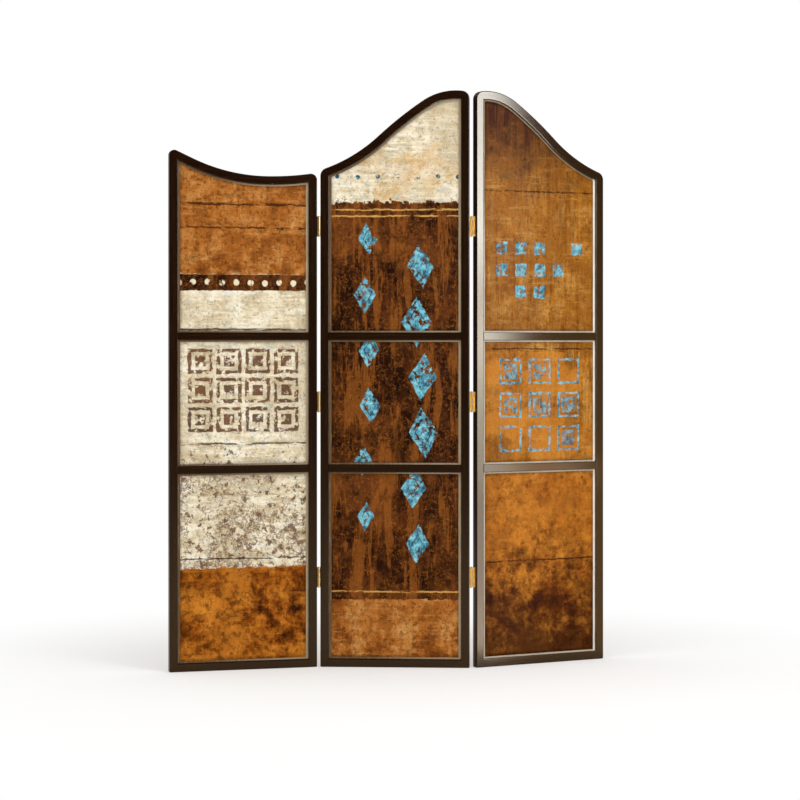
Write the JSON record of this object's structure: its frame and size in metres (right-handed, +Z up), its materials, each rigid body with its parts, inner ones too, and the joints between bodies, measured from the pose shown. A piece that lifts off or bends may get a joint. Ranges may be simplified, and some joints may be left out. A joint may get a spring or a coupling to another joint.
{
  "type": "folding screen",
  "caption": "Free-standing wooden folding screen with swept, curved tops, dark lacquered frames, crossbars, inset painted canvases and brass butt hinges.",
  "frame": {"origin": "on the floor, in the middle of the centre panel's footprint", "axes": "+X along the centre panel towards the right-hand panel as seen from the front, +Y towards the back, +Z up"},
  "size_m": [1.3676, 0.4227, 1.829],
  "materials": {
    "frame_wood": "dark espresso lacquer, satin to gloss",
    "spline_wood": "raw hardwood",
    "board": "board painted cream, matt",
    "left_canvas": "painted canvas, cream and rust, matt",
    "centre_canvas": "painted canvas, cream and dark brown with teal, matt",
    "right_canvas": "painted canvas, ochre and rust, matt",
    "back_canvas": "painted canvas, plain mottled tan, matt",
    "hinge_brass": "brass plated, polished",
    "screw_brass": "brass plated, polished"
  },
  "bodies": {
    "centre_panel": {"centre_left_stile": "frame_wood", "centre_right_stile": "frame_wood", "centre_top_rail": "frame_wood", "centre_bottom_rail": "frame_wood", "centre_upper_crossbar": "frame_wood", "centre_lower_crossbar": "frame_wood", "centre_corner_splines": "spline_wood", "centre_upper_board": "board", "centre_upper_front_canvas": "centre_canvas", "centre_upper_back_canvas": "back_canvas", "centre_middle_board": "board", "centre_middle_front_canvas": "centre_canvas", "centre_middle_back_canvas": "back_canvas", "centre_lower_board": "board", "centre_lower_front_canvas": "centre_canvas", "centre_lower_back_canvas": "back_canvas", "left_hinge_centre_leaves": "hinge_brass", "left_hinge_pins": "hinge_brass", "left_hinge_centre_screws": "screw_brass", "right_hinge_centre_leaves": "hinge_brass", "right_hinge_pins": "hinge_brass", "right_hinge_centre_screws": "screw_brass"},
    "left_panel": {"left_outer_stile": "frame_wood", "left_hinge_stile": "frame_wood", "left_top_rail": "frame_wood", "left_bottom_rail": "frame_wood", "left_upper_crossbar": "frame_wood", "left_lower_crossbar": "frame_wood", "left_corner_splines": "spline_wood", "left_upper_board": "board", "left_upper_front_canvas": "left_canvas", "left_upper_back_canvas": "back_canvas", "left_middle_board": "board", "left_middle_front_canvas": "left_canvas", "left_middle_back_canvas": "back_canvas", "left_lower_board": "board", "left_lower_front_canvas": "left_canvas", "left_lower_back_canvas": "back_canvas", "left_hinge_panel_leaves": "hinge_brass", "left_hinge_panel_screws": "screw_brass"},
    "right_panel": {"right_hinge_stile": "frame_wood", "right_outer_stile": "frame_wood", "right_top_rail": "frame_wood", "right_bottom_rail": "frame_wood", "right_upper_crossbar": "frame_wood", "right_lower_crossbar": "frame_wood", "right_corner_splines": "spline_wood", "right_upper_board": "board", "right_upper_front_canvas": "right_canvas", "right_upper_back_canvas": "back_canvas", "right_middle_board": "board", "right_middle_front_canvas": "right_canvas", "right_middle_back_canvas": "back_canvas", "right_lower_board": "board", "right_lower_front_canvas": "right_canvas", "right_lower_back_canvas": "back_canvas", "right_hinge_panel_leaves": "hinge_brass", "right_hinge_panel_screws": "screw_brass"}
  },
  "joints": [
    {"name": "left_fold", "type": "hinge", "parent": "centre_panel", "child": "left_panel", "pos_m": [-0.2415, -0.0145, 0], "axis": [0, 0, 1], "range_deg": [-33.8, 161.2]},
    {"name": "right_fold", "type": "hinge", "parent": "centre_panel", "child": "right_panel", "pos_m": [0.2415, 0.0145, 0], "axis": [0, 0, 1], "range_deg": [-45.8, 149.2]}
  ]
}
